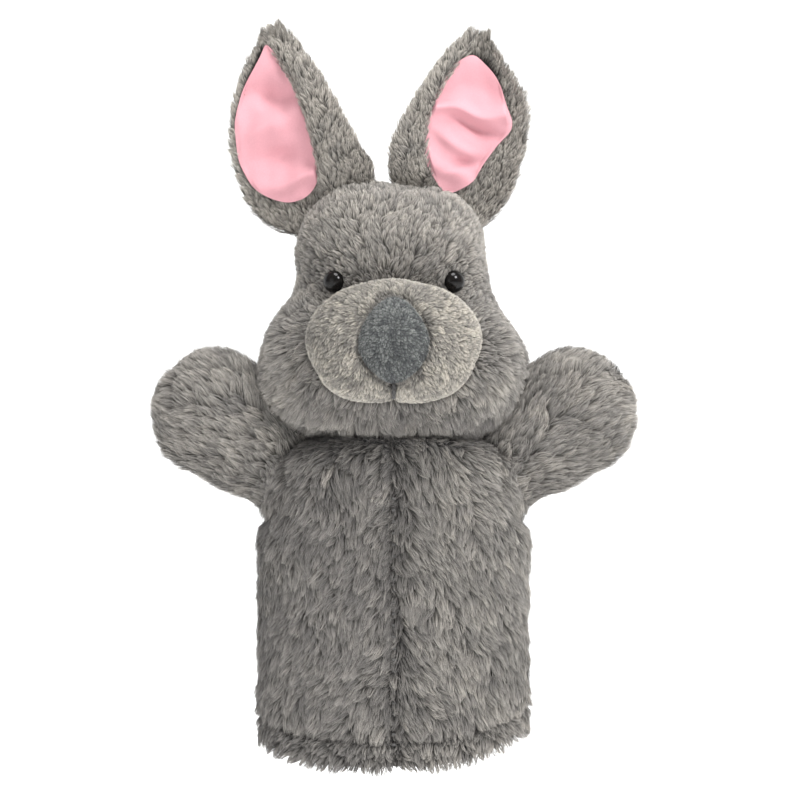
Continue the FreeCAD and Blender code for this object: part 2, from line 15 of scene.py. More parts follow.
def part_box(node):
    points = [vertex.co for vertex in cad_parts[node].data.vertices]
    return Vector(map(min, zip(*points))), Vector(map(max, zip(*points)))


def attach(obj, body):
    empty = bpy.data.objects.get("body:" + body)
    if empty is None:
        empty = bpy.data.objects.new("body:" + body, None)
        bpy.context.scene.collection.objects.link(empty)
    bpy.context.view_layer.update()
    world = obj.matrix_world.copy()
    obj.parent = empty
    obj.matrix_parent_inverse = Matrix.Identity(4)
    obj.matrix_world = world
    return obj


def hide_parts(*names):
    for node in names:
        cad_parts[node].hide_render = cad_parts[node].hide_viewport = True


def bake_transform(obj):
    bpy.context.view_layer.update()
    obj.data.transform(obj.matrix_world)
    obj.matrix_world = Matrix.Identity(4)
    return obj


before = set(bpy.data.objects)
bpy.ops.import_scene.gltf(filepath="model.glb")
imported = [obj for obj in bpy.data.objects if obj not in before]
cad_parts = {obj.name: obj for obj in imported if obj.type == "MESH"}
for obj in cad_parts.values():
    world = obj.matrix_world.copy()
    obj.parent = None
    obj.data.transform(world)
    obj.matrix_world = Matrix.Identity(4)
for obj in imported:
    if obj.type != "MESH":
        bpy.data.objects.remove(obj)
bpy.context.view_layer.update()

MM = 0.001
SIDES = {"left": 1, "right": -1}
FORWARD = np.array([0, -1, 0])  # the way that the face looks
UP = np.array([0, 0, 1])
PILE_SHARE = 1.0
BAKE_UV = "OFBake"  # the map that the colour of a strand is read from


# Small helpers


def cad(node):
    """A CAD node's lowest and highest corners, in millimetres."""
    low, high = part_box(node)
    return np.array(low) / MM, np.array(high) / MM


def unit(vectors):
    """The same directions with a length of 1."""
    length = np.linalg.norm(vectors, axis=-1, keepdims=True)
    return vectors / np.maximum(length, 1e-9)


def smooth(value, low, high):
    """0 below low, 1 above high and a smooth step between."""
    share = np.clip((value - low) / (high - low), 0, 1)
    return share * share * (3 - 2 * share)


def hump(offset, width):
    """1 at offset 0, and falling to nothing about two widths away."""
    return np.exp(-((offset / width) ** 2))


def ripple(points, size, seed, waves=7):
    """A smooth uneven field between about -1 and 1, whose bumps are about size across."""
    rng = np.random.default_rng(seed)
    total = np.zeros(points.shape[:-1])
    for _ in range(waves):
        direction = rng.normal(size=3)
        direction /= np.linalg.norm(direction)
        pitch = size * rng.uniform(0.7, 1.5)
        total += np.sin(points @ direction * (2 * np.pi / pitch) + rng.uniform(0, 2 * np.pi))
    return total / math.sqrt(waves) / 1.4


def turn_about(vectors, axes, angles):
    """Vectors turned about unit axes, by angles in radians."""
    cos, sin = np.cos(angles)[..., None], np.sin(angles)[..., None]
    along = (vectors * axes).sum(-1, keepdims=True) * axes
    return along + (vectors - along) * cos + np.cross(axes, vectors) * sin


def full_turn(count):
    """So many angles round a full turn, evenly spaced."""
    return np.linspace(0, 2 * np.pi, count, endpoint=False)


def half_round(share):
    """1 at share 0 and 0 at -1 and 1, as the height of a half circle."""
    return np.sqrt(np.clip(1 - share**2, 0, 1))


def mirrored(points, side):
    """Places on the puppet's left, or the same places on its right."""
    return points * (SIDES[side], 1, 1)


def linked(name, data):
    """An object of the scene that holds a mesh, a light or a camera."""
    made = bpy.data.objects.new(name, data)
    bpy.context.scene.collection.objects.link(made)
    return made


def finished(name, mesh, look):
    """A smooth-shaded object made of a mesh, with its look."""
    mesh.shade_smooth()
    mesh.materials.append(LOOKS[look])
    made = linked(name, mesh)
    return made


def new_object(name, points, faces, look):
    """An object from points in millimetres."""
    mesh = bpy.data.meshes.new(name)
    mesh.from_pydata((np.asarray(points, float) * MM).tolist(), [], np.asarray(faces).tolist())
    return finished(name, mesh, look)


class Skin:
    """A grid of points, rows by columns, and what the pile on it needs to know."""

    FIELDS = ("points", "normals", "comb", "length", "painted_light_and_tone", "density")

    def __init__(self, points, closed=True, outward=1):
        self.points = points
        self.closed = closed
        self.outward = outward
        self.normals = self.find_normals()
        shape = points.shape[:2]
        self.comb = np.tile(np.array([0.0, 0, -1]), (*shape, 1))
        self.length = np.full(shape, 10.0)
        # How much lighter or darker the pile is made: painted light and shade, and a small tone shift
        self.painted_light_and_tone = np.zeros(shape)
        self.density = np.ones(shape)

    def find_normals(self):
        p = self.points
        if self.closed:
            across = np.roll(p, -1, 1) - np.roll(p, 1, 1)
        else:
            across = np.gradient(p, axis=1)
        along = np.gradient(p, axis=0)
        return unit(np.cross(across, along)) * self.outward

    def part(self, rows=slice(None), columns=None):
        """The same skin between two rows, or opened so that it has only some columns."""
        part = object.__new__(Skin)
        part.closed, part.outward = self.closed and columns is None, self.outward
        for name in self.FIELDS:
            field = getattr(self, name)[rows]
            setattr(part, name, field if columns is None else field[:, columns])
        return part

    def quarter(self, number, start=0):
        """One of four strips of columns, which meet."""
        count = self.points.shape[1]
        first = start + number * count // 4
        return self.part(columns=np.arange(first, first + count // 4 + 1) % count)

    def faces(self):
        rows, columns = self.points.shape[:2]
        span = columns if self.closed else columns - 1
        row, column = np.meshgrid(np.arange(rows - 1), np.arange(span), indexing="ij")
        after = (column + 1) % columns
        low, high = row * columns, (row + 1) * columns
        corners = [low + column, low + after, high + after, high + column]
        if self.outward < 0:
            corners.reverse()
        return np.stack(corners, -1).reshape(-1, 4)

    def show(self, name, look):
        return new_object(name, self.points.reshape(-1, 3), self.faces(), look)

    def wrapped(self, field):
        """A field with its first column again at its end, if the skin is closed."""
        return np.concatenate([field, field[:, :1]], 1) if self.closed else field

    def sample(self, count, rng):
        """Evenly spread places on the skin: point, normal, comb, length, and the tone shift that holds
        painted light and shade, at each.
        """
        fields = []
        for name in self.FIELDS:
            field = getattr(self, name)
            fields.append(self.wrapped(field[..., None] if field.ndim == 2 else field))
        p = fields[0]
        corner = [p[:-1, :-1], p[:-1, 1:], p[1:, 1:], p[1:, :-1]]
        area = np.linalg.norm(np.cross(corner[2] - corner[0], corner[3] - corner[1]), axis=-1) / 2
        density = fields.pop()[..., 0]
        share = (density[:-1, :-1] + density[:-1, 1:] + density[1:, 1:] + density[1:, :-1]) / 4
        weight = (area * share).ravel()
        steps = (np.arange(count) + rng.random(count)) / count * weight.sum()
        cell = np.minimum(np.searchsorted(np.cumsum(weight), steps), weight.size - 1)
        row, column = np.divmod(cell, area.shape[1])
        a, b = rng.random((2, count, 1))
        found = []
        for field in fields:
            low = field[row, column] * (1 - b) + field[row, column + 1] * b
            high = field[row + 1, column] * (1 - b) + field[row + 1, column + 1] * b
            found.append(low * (1 - a) + high * a)
        return found

    def area(self):
        """The skin's area in square millimetres, where its pile is thin counted in part."""
        p = self.wrapped(self.points)
        cross = np.cross(p[1:, 1:] - p[:-1, :-1], p[1:, :-1] - p[:-1, 1:])
        weight = np.linalg.norm(cross, axis=-1) / 2
        density = self.density[:-1, : weight.shape[1]]
        return float((weight * density).sum())


def facing(points, away, closed=True):
    """A skin whose normals point on the whole the way that away does."""
    skin = Skin(points, closed)
    return skin if (skin.normals * away).sum() > 0 else Skin(points, closed, outward=-1)


# Materials. Each is a Principled shader with plain values where the export needs them


def material(name, roughness, sheen=0.0, **plain):
    """A material, its node tree and its shader. The rest are the shader's other plain values."""
    made = bpy.data.materials.new(name)
    made.use_nodes = True
    shader = made.node_tree.nodes["Principled BSDF"]
    shader.inputs["Roughness"].default_value = roughness
    shader.inputs["Sheen Weight"].default_value = sheen
    for socket, value in plain.items():
        shader.inputs[socket.replace("_", " ")].default_value = value
    return made, made.node_tree, shader


def ramp(tree, stops, source):
    """A colour that runs through the stops as the source goes from 0 to 1."""
    node = tree.nodes.new("ShaderNodeValToRGB")
    elements = node.color_ramp.elements
    while len(elements) < len(stops):
        elements.new(0.5)
    for element, (place, colour) in zip(elements, stops):
        element.position = place
        element.color = (*colour, 1)
    tree.links.new(source, node.inputs["Fac"])
    return node.outputs["Color"]


def noise(tree, scale, detail=3.0):
    """Noise by the part's own coordinates, in metres."""
    where = tree.nodes.new("ShaderNodeTexCoord")
    node = tree.nodes.new("ShaderNodeTexNoise")
    node.inputs["Scale"].default_value = scale
    node.inputs["Detail"].default_value = detail
    node.inputs["Roughness"].default_value = 0.6
    tree.links.new(where.outputs["Object"], node.inputs["Vector"])
    return node.outputs["Fac"]


TONES = ((0.0, (0.52, 0.52, 0.54)), (0.5, (1.0, 1.0, 1.0)), (1.0, (1.62, 1.59, 1.54)))


def pile_material(name, stops, sheen=0.35):
    """Strand colour from the strand's own map: across it the strand's tone, along it root to tip."""
    made, tree, shader = material(name, 0.82, sheen, Sheen_Roughness=0.45)
    where = tree.nodes.new("ShaderNodeUVMap")
    where.uv_map = BAKE_UV
    split = tree.nodes.new("ShaderNodeSeparateXYZ")
    tree.links.new(where.outputs["UV"], split.inputs["Vector"])
    product = tree.nodes.new("ShaderNodeMix")
    product.data_type, product.blend_type = "RGBA", "MULTIPLY"
    product.inputs["Factor"].default_value = 1
    tree.links.new(ramp(tree, stops, split.outputs["Y"]), product.inputs["A"])
    tree.links.new(ramp(tree, TONES, split.outputs["X"]), product.inputs["B"])
    tree.links.new(product.outputs["Result"], shader.inputs["Base Color"])
    return made


def cloth_material(name, dark, light, scale, roughness, sheen=0.2, depth=0.0002):
    """A fabric whose colour and small relief come from noise."""
    made, tree, shader = material(name, roughness, sheen, Sheen_Roughness=0.5)
    mottled(made, tree, shader, ((0.3, dark), (0.7, light)), scale)
    relief = tree.nodes.new("ShaderNodeBump")
    relief.inputs["Strength"].default_value = 0.6
    relief.inputs["Distance"].default_value = depth
    tree.links.new(noise(tree, scale * 2.3, 2.0), relief.inputs["Height"])
    tree.links.new(relief.outputs["Normal"], shader.inputs["Normal"])
    return made


def mottled(made, tree, shader, stops, scale):
    """A material whose colour wanders between its stops."""
    tree.links.new(ramp(tree, stops, noise(tree, scale)), shader.inputs["Base Color"])
    return made


LOOKS = {
    "pile": pile_material(
        "long_pile",
        ((0.0, (0.040, 0.037, 0.034)), (0.38, (0.125, 0.117, 0.107)), (0.75, (0.262, 0.247, 0.226)),
         (1.0, (0.440, 0.418, 0.385))),
    ),
    "short": pile_material(
        "short_pile",
        ((0.0, (0.080, 0.074, 0.065)), (0.5, (0.240, 0.225, 0.198)), (1.0, (0.470, 0.445, 0.395))),
    ),
    "nose_fuzz": pile_material(
        "nose_fuzz",
        ((0.0, (0.030, 0.033, 0.034)), (0.5, (0.105, 0.112, 0.112)), (1.0, (0.215, 0.226, 0.222))),
        sheen=0.2,
    ),
    "backing": cloth_material("pile_backing", (0.05, 0.047, 0.044), (0.10, 0.095, 0.088), 900, 0.95),
    "muzzle": cloth_material("muzzle_backing", (0.09, 0.084, 0.074), (0.16, 0.15, 0.132), 1200, 0.95),
    "nose": cloth_material("nose_cloth", (0.05, 0.054, 0.055), (0.12, 0.128, 0.128), 2200, 0.9, 0.15),
    "pink": cloth_material(
        "pink_velour", (0.565, 0.275, 0.31), (0.605, 0.30, 0.335), 1500, 0.85, 0.12, 0.00004
    ),
    "lining": cloth_material("lining", (0.17, 0.165, 0.16), (0.23, 0.225, 0.22), 1500, 0.6, 0.3),
    "mouth": cloth_material("mouth_thread", (0.012, 0.011, 0.011), (0.03, 0.028, 0.027), 3000, 0.8),
    "thread": cloth_material("thread", (0.07, 0.068, 0.066), (0.13, 0.127, 0.123), 3000, 0.8),
    "stuffing": cloth_material("stuffing", (0.72, 0.71, 0.68), (0.9, 0.89, 0.86), 400, 1.0, 0.4, 0.001),
    "washer": cloth_material("washer", (0.7, 0.7, 0.67), (0.78, 0.78, 0.75), 250, 0.45, 0.0, 0.00003),
    "tape": cloth_material("tape", (0.78, 0.78, 0.76), (0.86, 0.86, 0.84), 1800, 0.5, 0.2),
    "eye": mottled(
        *material("eye_gloss", 0.14, Specular_IOR_Level=0.22),
        ((0.35, (0.004, 0.004, 0.004)), (0.75, (0.010, 0.008, 0.007))),
        300,
    ),
}


# Pile

STATIONS = np.array([0.0, 0.34, 0.7, 1.0])
TAPER = np.array([1.0, 0.95, 0.66, 0.0])


def bend(normals, combs, lengths, rise, droop, curl):
    """Points along strands, as steps that lean over from the skin and droop."""
    side = np.cross(normals, combs)
    here = np.zeros_like(normals)
    path = [here]
    for start, end in zip(STATIONS, STATIONS[1:]):
        middle = (start + end) / 2
        angle = np.radians(rise * (1 - 0.78 * middle))[:, None]
        step = combs * np.cos(angle) + normals * np.sin(angle) + side * (curl[:, None] * (middle - 0.3))
        step = unit(step - UP * droop * middle)
        here = here + step * (end - start) * lengths[:, None]
        path.append(here)
    return np.stack(path, 1)


def guides(skin, count, wander, rng):
    """Places on a skin with the way its pile lies there: point, normal, comb, length, and the tone shift
    that holds painted light and shade.
    """
    points, normals, combs, lengths, painted_lights_and_tones = skin.sample(max(count, 4), rng)
    normals = unit(normals)
    combs = unit(combs - normals * (combs * normals).sum(-1, keepdims=True))
    angle = np.radians(wander) * (ripple(points, 30, 11) + 0.45 * ripple(points, 12, 12))
    return points, normals, turn_about(combs, normals, angle), lengths[:, 0], painted_lights_and_tones[:, 0]


def nearest(points, centres):
    """For each point, the number of the centre nearest to it."""
    tree = KDTree(len(centres))
    for index, centre in enumerate(centres):
        tree.insert(centre, index)
    tree.balance()
    return np.array([tree.find(point)[1] for point in points])


def pile(name, skin, look, per_mm2, width=0.4, rise=58, droop=0.25, tuft=2.3, lock=7.0,
         pull=0.6, lock_pull=0.42, wander=24, uneven=1.0, seed=1):
    """Strands on a skin. Their tips gather in tufts and the tufts' in locks, as brushed plush is."""
    rng = np.random.default_rng(seed)
    area = skin.area()
    gather = (STATIONS**1.5)[None, :, None]
    levels = ((area / lock**2, 0.25, 9, 0.10), (area / tuft**2, 0.5, 10, 0.11),
              (area * per_mm2 * PILE_SHARE, 0.6, 12, 0.08))
    for level, (count, twist, jitter, shade) in enumerate(levels):
        points, normals, combs, lengths, painted_lights_and_tones = guides(skin, int(count), wander, rng)
        total = len(points)
        combs = turn_about(combs, normals, rng.normal(size=total) * 0.2)
        lengths = lengths * rng.uniform(0.76, 1.1, total)
        rises = rise + rng.normal(size=total) * jitter
        own = points[:, None] + bend(normals, combs, lengths, rises, droop,
                                     rng.normal(size=total) * twist)
        if level == 0:
            # A lock's tone: the skin's painted light and shade and tone shift, and an uneven tone that
            # wanders
            own_tone = 0.5 + painted_lights_and_tones + 0.1 * ripple(points, 24, 13)
        else:
            owner = nearest(points, roots)
            own += (path[owner] - own) * gather * (lock_pull if level == 1 else pull)
            own_tone = tone[owner]
        path, roots = own, points
        tone = own_tone + uneven * shade * rng.normal(size=total)
    width = width / math.sqrt(PILE_SHARE) * rng.uniform(0.75, 1.2, total)
    return strand_mesh(name, path, normals, width, np.clip(tone, 0.02, 0.98), rng, look)


def strand_mesh(name, path, normals, widths, tone, rng, look):
    """Flat tapered strands: three pairs of points and a tip, with their own colour map."""
    total = len(path)
    run = unit(path[:, -1] - path[:, 0])
    side = unit(np.cross(run, normals))
    side = turn_about(side, run, rng.normal(size=total) * 0.55)
    half = side[:, None] * (widths[:, None, None] * TAPER[None, :, None] / 2)
    pairs = np.stack([path - half, path + half], 2)[:, :3].reshape(total, 6, 3)
    points = np.concatenate([pairs, path[:, 3:]], 1).reshape(-1, 3)
    quad_one, quad_two, tip = (0, 1, 3, 2), (2, 3, 5, 4), (4, 5, 6)
    corners = np.array(quad_one + quad_two + tip)
    loops = (np.arange(total)[:, None] * 7 + corners).ravel()
    starts = (np.arange(total)[:, None] * 11 + np.array([0, 4, 8])).ravel()
    mesh = bpy.data.meshes.new(name)
    mesh.vertices.add(len(points))
    mesh.vertices.foreach_set("co", (points * MM).astype(np.float32).ravel())
    mesh.loops.add(len(loops))
    mesh.loops.foreach_set("vertex_index", loops.astype(np.int32))
    mesh.polygons.add(len(starts))
    mesh.polygons.foreach_set("loop_start", starts.astype(np.int32))
    along = np.repeat(STATIONS, 2)[:7]
    across = np.array([-1, 1, -1, 1, -1, 1, 0.0]) * 0.004
    spot = np.stack([tone[:, None] + across[corners], np.broadcast_to(along[corners], (total, 11))], -1)
    layer = mesh.uv_layers.new(name=BAKE_UV)
    layer.data.foreach_set("uv", spot.astype(np.float32).ravel())
    mesh.update(calc_edges=True)
    return finished(name, mesh, look)


# The hand sleeve

SLEEVE_HIGH = cad("body_back")[1]
BACKING = 1.2  # the backing lies this far inside the CAD solid, which has half of the pile in it
SLEEVE_HALF_WIDTH = SLEEVE_HIGH[0] - BACKING
SLEEVE_HALF_DEPTH = SLEEVE_HIGH[1] - BACKING - 0.5
NECK_RADIUS = cad("neck_seam")[1][0]
NECK_Z = (cad("neck_cuff")[0][2] + cad("neck_cuff")[1][2]) / 2
SLEEVE_TOP = NECK_Z - 5
SHOULDER_FROM = 133.0  # the sleeve's sides turn in above this height
HEM_TOP = cad("hem_seam")[0][2]
HEM_MIDDLE, HEM_LEFT, HEM_RIGHT = 3.5, 16.0, 11.0  # drawn up in the middle, and more at each side
HEM_REACH = 50.0  # above this height nothing is drawn up


def sleeve_size(z, inset=0.0):
    """The sleeve's half-width and half-depth at a height, drawn in by inset."""
    top = SLEEVE_TOP - inset
    level = np.clip((z - SHOULDER_FROM) / (top - SHOULDER_FROM), 0, 1)
    wide = (1 - level**2.6) ** 0.45
    neck = NECK_RADIUS - inset * 0.5
    return (neck + (SLEEVE_HALF_WIDTH - inset - neck) * wide,
            neck + (SLEEVE_HALF_DEPTH - inset - neck) * wide)


def hem_rise(x, z):
    """How far the sleeve is drawn up at a place, most at its lower edge and towards the corners."""
    to_side = np.abs(x) / SLEEVE_HALF_WIDTH
    edge = HEM_MIDDLE + np.where(x > 0, HEM_LEFT * to_side**2.4, HEM_RIGHT * to_side**4)
    return edge * smooth(HEM_REACH - z, 0, HEM_REACH)


def hem_line(x):
    """Height of the hem's stitching once the lower edge is drawn up."""
    return HEM_TOP + hem_rise(x, HEM_TOP)


def seam_wave(z):
    """How far the front seam wanders sideways at a height."""
    return 1.3 * np.sin(z / 9.5 + 0.6) * smooth(z, 0, 30) + 0.7 * np.sin(z / 4.1)


def slot_point(angle, half_width, half_depth):
    """Places round a flat tube with round ends. Angle 0 is its left side, and -90 degrees its front."""
    power = 0.80
    cos, sin = np.cos(angle), np.sin(angle)
    return (half_width * np.sign(cos) * np.abs(cos) ** power,
            half_depth * np.sign(sin) * np.abs(sin) ** power)


def sleeve_grid(inset, rows=84, columns=200, bottom=0.0):
    """The sleeve's surface, drawn in by inset: folds, front seam, hem and the dips round the arms."""
    angle = full_turn(columns)
    top = SLEEVE_TOP - inset
    share, straight = np.linspace(0, 1, rows), 0.72  # that share of the rows is below the shoulders
    turn = np.sin((share - straight) / (1 - straight) * np.pi / 2)
    height = np.where(share < straight, share / straight * SHOULDER_FROM,
                      SHOULDER_FROM + (top - SHOULDER_FROM) * turn)
    height = bottom + height * (top - bottom) / top
    z = np.repeat(height[:, None], columns, 1)
    x, y = slot_point(angle[None, :], *sleeve_size(z, inset))
    points = np.stack([x, y, z], -1)
    points[..., 0] *= 1 + 0.03 * smooth(60 - z, 0, 60)
    points[..., 1] += hump(x - seam_wave(z), 2.4) * (y < 0) * 3.6
    out = np.stack([x / SLEEVE_HALF_WIDTH, y / SLEEVE_HALF_DEPTH, 0 * z], -1)
    points -= out * (2.34 * hump(z - HEM_TOP, 2.6))[..., None]
    folds = ripple(points * (1, 1, 0.35), 46, 3) * 1.5 + ripple(points, 19, 4) * 0.5
    points += out * (folds * smooth(z, -20, 40) * smooth(SHOULDER_FROM + 8 - z, 0, 30))[..., None]
    points[..., 2] += hem_rise(x, z)
    for side in SIDES:
        off = points - mirrored(SHOULDER, side)
        along = off @ mirrored(ARM_AXIS, side)
        aside = np.linalg.norm(off - along[..., None] * mirrored(ARM_AXIS, side), axis=-1)
        dip = hump(aside - 18.5, 3.5) * smooth(along, -22, -10)
        points -= out * (dip * 3.0)[..., None]
    return points


def sleeve():
    """The sleeve's backing and its pile, which is short at the front seam and in the hem's groove."""
    grid = sleeve_grid(0)
    skin = Skin(grid)
    x, y, z = (grid[..., i] for i in range(3))
    outward = np.sign(x) * (0.40 + 0.55 * np.exp(-np.abs(x) / 12) + 0.35 * smooth(z, 90, 140))
    skin.comb = np.stack([outward, 0 * x, 0 * x - 1], -1)
    near_seam = hump(x - seam_wave(z), 2.8) * (y < 0)
    at_hem = hump(z - hem_line(x), 2.4)
    length = (10.2 - 4.8 * near_seam) * (1 - 0.62 * at_hem) - 3.4 * smooth(hem_line(x) - z, 0, 6)
    skin.length = length * (1 - 0.35 * smooth(z, 138, 146))
    # Painted shade: the puppet's right side, away from the key light, and the groove of the front seam are
    # made darker; the whole sleeve is a little darker in tone
    skin.painted_light_and_tone = -0.03 - 0.24 * smooth(-x, -25, 30) - 0.28 * near_seam
    made = skin.show("sleeve_backing", "backing")
    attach(made, "sleeve")
    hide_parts("body_front_left", "body_front_right", "body_back")
    for number, label in enumerate(("back_left", "back_right", "front_right", "front_left")):
        fur = pile(f"sleeve_pile_{label}", skin.quarter(number), "pile", 3.9, width=0.27,
                   rise=44, droop=0.18, tuft=1.55, lock=4.8, pull=0.78, lock_pull=0.46, wander=32,
                   seed=20 + number)
        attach(fur, "sleeve")


def lining():
    """The cloth inside the sleeve, and the pile fabric that is turned up inside the hem."""
    grid = sleeve_grid(3.6, rows=60, columns=160, bottom=HEM_TOP - 1)
    grid += Skin(grid).normals * (0.5 * ripple(grid * (1, 1, 0.25), 14, 8))[..., None]
    cloth = Skin(grid, outward=-1).show("sleeve_lining", "lining")
    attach(cloth, "sleeve")
    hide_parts("lining_front", "lining_back")
    turned = sleeve_grid(2.6, columns=160)
    rows = int(np.argmax(turned[:, 0, 2] > HEM_TOP + 9.0)) + 1
    skin = Skin(turned[:rows], outward=-1)
    skin.length[:] = 5.0
    skin.comb[:] = (0, 0, 1)
    turn_up = skin.show("hem_facing", "backing")
    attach(turn_up, "sleeve")
    fur = pile("hem_facing_pile", skin, "pile", 1.6, rise=40, droop=0, seed=41)
    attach(fur, "sleeve")


# The head: a smooth join of ellipsoids, found along rays from its middle

HEAD_MIDDLE = np.array([0.0, -2, 203])
EYES = [sum(cad(f"{side}_eye")) / 2 for side in SIDES]
HEAD_BLOBS = (
    # centre, radii
    ((0, 2, 221), (36.5, 34, 35)),
    ((15.5, 3, 237), (20, 26, 21)),
    ((-17, 3, 237), (21, 26, 21.5)),
    ((29, -4, 180), (26, 31, 27)),
    ((-29, -4, 182), (26.5, 31, 28)),
    ((0, -6, 178), (34, 32, 25)),
    ((0, 6, 196), (41, 28, 35)),
)


def blob_field(points, blobs, softness):
    """Below 0 inside a smooth join of ellipsoids."""
    total = np.zeros(points.shape[:-1])
    for centre, radii in blobs:
        q = (points - centre) / radii
        distance = (np.linalg.norm(q, axis=-1) - 1) * min(radii)
        total += np.exp(-distance / softness)
    return -softness * np.log(np.maximum(total, 1e-30))


def shell(middle, directions, blobs, softness):
    """Where rays from the middle leave a join of ellipsoids."""
    low = np.zeros(directions.shape[:-1])
    high = low + 90.0  # farther out than any of them
    for _ in range(26):
        radius = (low + high) / 2
        inside = blob_field(middle + directions * radius[..., None], blobs, softness) < 0
        low, high = np.where(inside, radius, low), np.where(inside, high, radius)
    return middle + directions * low[..., None]


def globe(rows, columns, lowest, highest):
    """Directions by latitude, from lowest to highest in degrees, and longitude."""
    up = np.radians(np.linspace(lowest, highest, rows))[:, None]
    round_it = full_turn(columns)[None, :]
    return np.stack([np.cos(up) * np.cos(round_it), np.cos(up) * np.sin(round_it),
                     np.sin(up) * np.ones_like(round_it)], -1)


MUZZLE_MIDDLE = np.array([0.0, -34, 190])
MUZZLE_BLOBS = (
    ((0, -36, 192.3), (37.4, 23.5, 25.2)),
    ((13, -40, 177.5), (16.5, 17, 11)),
    ((-13, -40, 177.5), (16.5, 17, 11)),
)


def in_muzzle(points):
    """Below 0 where the muzzle covers the face."""
    return blob_field(points, MUZZLE_BLOBS, 2.2)


def head():
    """The head's backing, its stuffing and its pile, which parts round the eyes and the muzzle."""
    grid = shell(HEAD_MIDDLE, globe(120, 200, -69, 89.5), HEAD_BLOBS, 5.0)
    skin = Skin(grid)
    grid = grid + skin.normals * (ripple(grid, 40, 5) + ripple(grid, 15, 6) * 0.4)[..., None]
    skin = Skin(grid)
    y, z = grid[..., 1], grid[..., 2]
    away = unit(grid - (0, -62, 192))
    behind = smooth(y, 0, 26)
    down = smooth(172 - z, 0, 18)
    skin.comb = (away * (1 - behind)[..., None]
                 + np.array([0, 0.25, -1]) * (behind + 0.7 * down)[..., None]
                 - 0.35 * UP * smooth(205 - z, 0, 25)[..., None])
    length = 6.5 + 4.5 * smooth(212 - z, 0, 30) + 1.5 * smooth(y, -10, 25)
    density = 1.0
    for eye in EYES:
        off = np.linalg.norm((grid - eye) * (1, 0.8, 1), axis=-1)
        length = length * (0.5 + 0.5 * smooth(off, 6, 15))
        density = density * smooth(off, 3.5, 5.5)
    covered = in_muzzle(grid)
    density = density * smooth(covered, -2.5, 0.5)
    length = length * (0.55 + 0.45 * smooth(covered, 0, 7))
    skin.length, skin.density = length, density
    # Painted light and shade: the top of the head is made lighter, where light from above falls, and the
    # underside round the chin darker, where shade falls
    skin.painted_light_and_tone = 0.16 * smooth(z, 205, 245) - 0.16 * smooth(176 - z, 0, 16)
    made = skin.show("head_backing", "backing")
    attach(made, "head")
    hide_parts("head_side_left", "head_side_right", "head_gusset")
    filling("head_filling", skin, 4.0, "head", "head_stuffing")
    for number, label in enumerate(("left", "back", "right", "front")):
        part = skin.quarter(number, -grid.shape[1] // 8)
        fur = pile(f"head_pile_{label}", part, "pile", 4.4, width=0.28, rise=42, pull=0.76,
                   droop=0.10, tuft=1.4, lock=4.6, lock_pull=0.46, wander=15, seed=50 + number)
        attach(fur, "head")


def muzzle():
    """Short-pile muzzle with two soft lobes under the nose."""
    directions = globe(110, 180, -89.5, 89.5)
    directions = directions[..., [0, 2, 1]] * (1, -1, 1)
    grid = shell(MUZZLE_MIDDLE, directions, MUZZLE_BLOBS, 2.2)
    x, y, z = (grid[..., i] for i in range(3))
    cleft = hump(x, 2.4) * smooth(177 - z, 0, 5) * (y < -30)
    grid = grid - FORWARD * (cleft * 3.0)[..., None]
    round_nose = hump(nose_share(grid) - 1.03, 0.07)
    grid = grid - FORWARD * (round_nose * 1.3)[..., None]
    grid = grid + Skin(grid).normals * (ripple(grid, 17, 7) * 0.35)[..., None]
    skin = facing(grid, grid - MUZZLE_MIDDLE)
    x, y, z = (grid[..., i] for i in range(3))
    away = unit(grid - (0, -66, 196))
    skin.comb = away - 0.25 * UP
    share = nose_share(grid)
    in_cleft = hump(x, 1.7) * smooth(176 - z, 0, 4)
    skin.length = 3.0 * (1 - 0.6 * in_cleft)
    skin.density = smooth(-30 - y, -8, 4) * (share > 0.95) * (1 - 0.9 * in_cleft)
    # Painted light and shade: lighter towards the puppet's left, the key light's side, and darker round
    # the nose's edge and in the cleft under it, where shade falls
    skin.painted_light_and_tone = 0.10 * smooth(x, -10, 25) - 0.35 * smooth(1.16 - share, 0, 0.14) - 0.3 * in_cleft
    made = skin.show("muzzle_backing", "muzzle")
    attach(made, "head")
    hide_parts("muzzle_cover")
    filling("muzzle_filling", skin, 3.0, "head", "muzzle_stuffing")
    fur = pile("muzzle_pile", skin, "short", 7.0, width=0.27, rise=46, droop=0.05,
               tuft=1.1, lock=2.8, pull=0.6, lock_pull=0.35, wander=34, uneven=1.5, seed=71)
    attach(fur, "head")


NOSE_MIDDLE = np.array([0.0, -55.5, 191.7])
NOSE_HALF = np.array([14.6, 8.0, 18.3])


def narrowing(up):
    """The nose's half-width at a height, as a share: widest a little below the middle, and pointed."""
    return 1.02 - 0.15 * up - 0.12 * up**2 - 0.22 * smooth(-up, 0.2, 1.2)


def nose_share(points):
    """0 in the middle of the nose's outline and 1 at its edge, as seen from the front."""
    x = points[..., 0] / NOSE_HALF[0]
    up = (points[..., 2] - NOSE_MIDDLE[2]) / NOSE_HALF[2]
    share = np.sqrt((x / narrowing(up)) ** 2 + up**2)
    return np.where(points[..., 1] < -40, share, 9.0)


def muzzle_front(x, z):
    """How far forward the muzzle comes, as y, at places inside its outline."""
    back, front = np.full(x.shape, -34.0), np.full(x.shape, -80.0)
    for _ in range(24):
        y = (back + front) / 2
        inside = in_muzzle(np.stack([x, y, z], -1)) < 0
        back, front = np.where(inside, y, back), np.where(inside, front, y)
    return back


